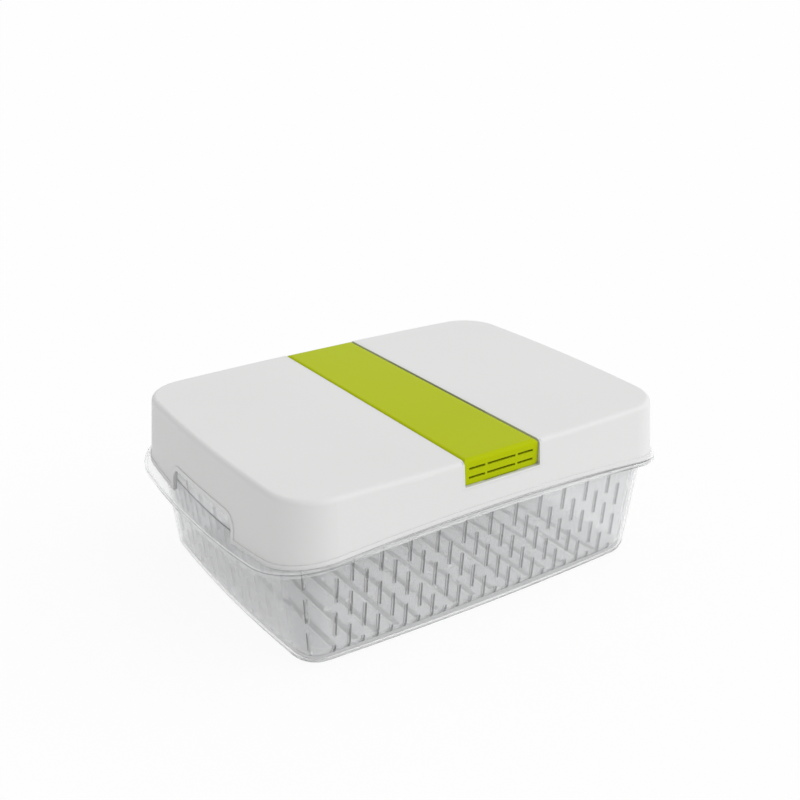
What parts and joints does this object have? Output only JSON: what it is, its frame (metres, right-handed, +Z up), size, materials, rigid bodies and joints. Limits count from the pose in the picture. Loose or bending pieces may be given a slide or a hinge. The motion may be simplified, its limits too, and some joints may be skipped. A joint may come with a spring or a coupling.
{
  "type": "food storage container",
  "caption": "Produce keeper: clear bin with a lift-out slotted basket, an overlapping lid with a vent channel across it, and a lift-off vent cover.",
  "frame": {"origin": "bottom centre of the bin, on the surface that it stands on", "axes": "+X along the long side, +Y across it along the vent channel, +Z up; everything is drawn closed"},
  "size_m": [0.363, 0.266, 0.1366],
  "materials": {
    "clear_plastic": "clear polished moulding",
    "pale_plastic": "opaque satin-gloss moulding",
    "grey_plastic": "opaque satin-gloss moulding",
    "green_plastic": "opaque satin-gloss moulding"
  },
  "bodies": {
    "bin": {"bin": "clear_plastic"},
    "basket": {"basket": "clear_plastic"},
    "lid": {"lid": "pale_plastic", "vent_channel": "grey_plastic"},
    "vent_cover": {"vent_cover": "green_plastic"}
  },
  "joints": [
    {"name": "basket_lift", "type": "slide", "parent": "bin", "child": "basket", "axis": [0, 0, 1], "range_m": [0, 0.0766]},
    {"name": "lid_lift", "type": "slide", "parent": "basket", "child": "lid", "axis": [0, 0, 1], "range_m": [0, 0.0542]},
    {"name": "vent_cover_lift", "type": "slide", "parent": "lid", "child": "vent_cover", "axis": [0, 0, 1], "range_m": [0, 0.0427]}
  ]
}
